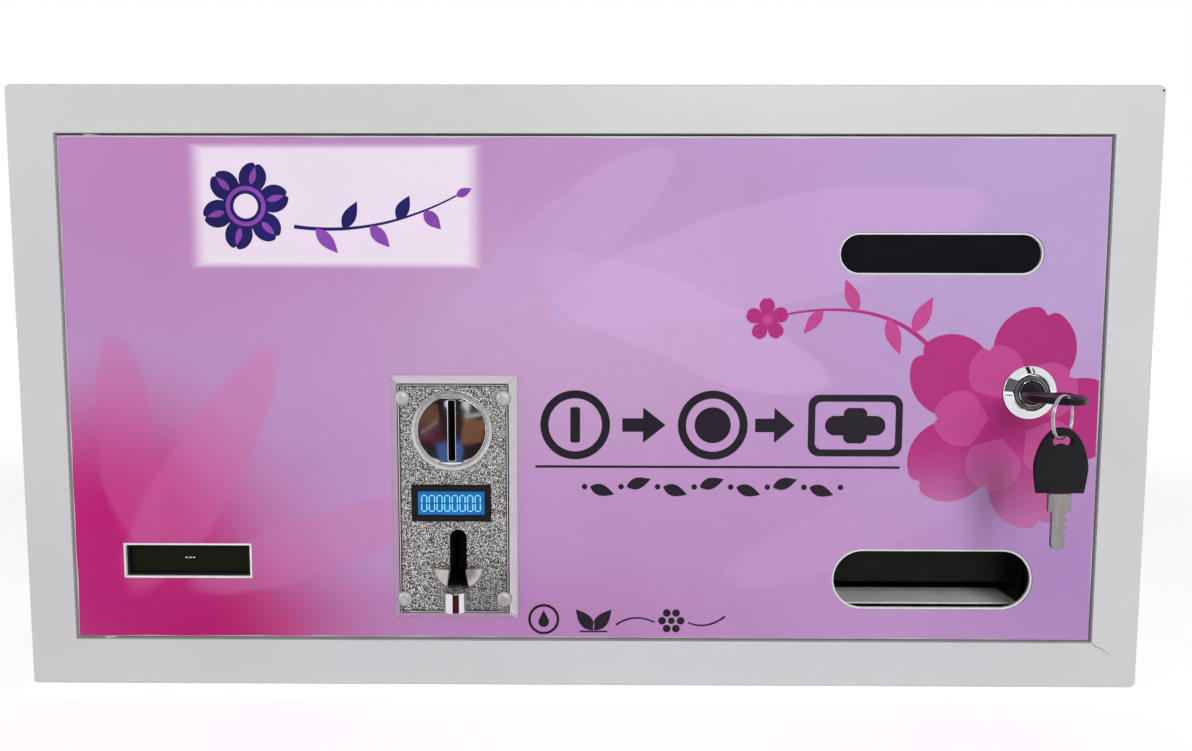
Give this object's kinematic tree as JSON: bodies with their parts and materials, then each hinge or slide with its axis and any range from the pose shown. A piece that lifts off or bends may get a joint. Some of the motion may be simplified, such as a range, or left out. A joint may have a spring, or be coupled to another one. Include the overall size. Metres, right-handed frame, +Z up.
{
  "type": "sanitary napkin vending machine",
  "caption": "Wall-mounted steel cabinet with a printed hinged door, coin acceptor, viewing window, dispensing slot, cam lock with keys and a motor-driven spiral dispenser.",
  "frame": {"origin": "centre of the back panel's rear face, where it meets the wall", "axes": "+X to the right as seen from the front, +Y into the wall, +Z up"},
  "size_m": [0.6025, 0.2538, 0.32],
  "materials": {
    "white_paint": "semi-gloss powder coat",
    "printed_vinyl": "satin print",
    "galvanised_sheet": "dull",
    "cast_zinc": "hammered",
    "chrome_plate": "mirror",
    "bright_steel": "satin",
    "smoked_acrylic": "gloss",
    "black_plastic": "moulded",
    "blue_display": "lit",
    "green_board": "solder mask",
    "blue_plastic": "moulded",
    "black_rubber": "matt",
    "nylon": "moulded"
  },
  "bodies": {
    "cabinet": {"cabinet_shell": "white_paint", "back_panel": "white_paint", "hinge_pin_bottom": "bright_steel", "hinge_pin_top": "bright_steel", "hinge_bush_bottom": "nylon", "hinge_bush_top": "nylon", "cord_grommet": "black_rubber", "spiral_tray": "galvanised_sheet", "tray_bracket_left": "galvanised_sheet", "tray_bracket_right": "galvanised_sheet", "motor_bracket": "galvanised_sheet", "gearbox_housing": "bright_steel", "motor_can": "galvanised_sheet", "delivery_chute": "galvanised_sheet", "flap_rod": "bright_steel", "power_supply_case": "galvanised_sheet", "terminal_block": "black_plastic", "controller_board": "green_board", "relay": "blue_plastic", "capacitor": "black_plastic", "controller_chip": "black_plastic", "coin_box_bracket": "galvanised_sheet"},
    "door": {"door_panel": "white_paint", "vinyl_graphic": "printed_vinyl", "door_stiffener": "galvanised_sheet", "view_window": "smoked_acrylic", "lcd_bezel": "black_plastic", "lcd_glass": "smoked_acrylic", "lcd_board": "green_board", "acceptor_front_plate": "cast_zinc", "acceptor_bolt_1": "cast_zinc", "acceptor_bolt_2": "cast_zinc", "acceptor_bolt_3": "cast_zinc", "acceptor_bolt_4": "cast_zinc", "display_frame": "black_plastic", "display_lens": "blue_display", "return_cup": "cast_zinc", "return_spout": "chrome_plate", "acceptor_housing": "black_plastic", "gate_pin": "bright_steel", "acceptor_circuit_board": "green_board", "reject_spring": "bright_steel", "coin_deflector": "galvanised_sheet", "lock_housing": "chrome_plate", "lock_nut": "bright_steel"},
    "lock": {"lock_plug": "black_plastic", "lock_cam": "bright_steel", "cam_screw": "bright_steel"},
    "key": {"key_bow": "black_plastic", "key_blade": "bright_steel"},
    "ring": {"key_ring": "bright_steel"},
    "spare_key": {"spare_key_bow": "black_plastic", "spare_key_blade": "bright_steel"},
    "button": {"reject_button": "chrome_plate"},
    "gate": {"acceptor_gate": "blue_plastic"},
    "spiral": {"motor_shaft": "bright_steel", "spiral_coupler": "black_plastic", "spiral_coil": "bright_steel"},
    "flap": {"delivery_flap": "black_plastic"},
    "cash_box": {"coin_box": "galvanised_sheet"}
  },
  "joints": [
    {"name": "door_hinge", "type": "hinge", "parent": "cabinet", "child": "door", "pos_m": [-0.2578, -0.194, 0], "axis": [0, 0, -1], "range_deg": [0, 100]},
    {"name": "lock_turn", "type": "hinge", "parent": "door", "child": "lock", "pos_m": [0.2355, -0.2, 0.001], "axis": [0, -1, 0], "range_deg": [0, 90]},
    {"name": "key_pull", "type": "slide", "parent": "lock", "child": "key", "axis": [0, -1, 0], "range_m": [0, 0.03]},
    {"name": "ring_tilt", "type": "hinge", "parent": "key", "child": "ring", "pos_m": [0.23018, -0.24607, 0.0029], "axis": [0.766, 0.6428, 0], "range_deg": [-7, 7]},
    {"name": "spare_key_swing", "type": "hinge", "parent": "ring", "child": "spare_key", "pos_m": [0.23018, -0.24607, -0.01684], "axis": [0.766, 0.6428, 0], "range_deg": [-20, 20]},
    {"name": "reject_push", "type": "slide", "parent": "door", "child": "button", "axis": [0, 1, 0], "range_m": [0, 0.004], "stiffness_N_per_m": 300, "springref_m": -0.002, "deforming": ["reject_spring"]},
    {"name": "gate_open", "type": "hinge", "parent": "door", "child": "gate", "pos_m": [-0.04295, -0.1675, -0.01235], "axis": [0, -1, 0], "range_deg": [0, 8]},
    {"name": "spiral_spin", "type": "hinge", "parent": "cabinet", "child": "spiral", "pos_m": [-0.185, -0.1, 0.063], "axis": [1, 0, 0], "continuous": true},
    {"name": "flap_swing", "type": "hinge", "parent": "cabinet", "child": "flap", "pos_m": [0.1878, -0.1765, -0.0775], "axis": [-1, 0, 0], "range_deg": [0, 35]},
    {"name": "coin_box_lift", "type": "slide", "parent": "cabinet", "child": "cash_box", "axis": [0, 0, 1], "range_m": [0, 0.04]}
  ],
  "couplings": [
    {"joint": "gate_open", "follows": "reject_push", "rad_per_m": 34.9}
  ]
}
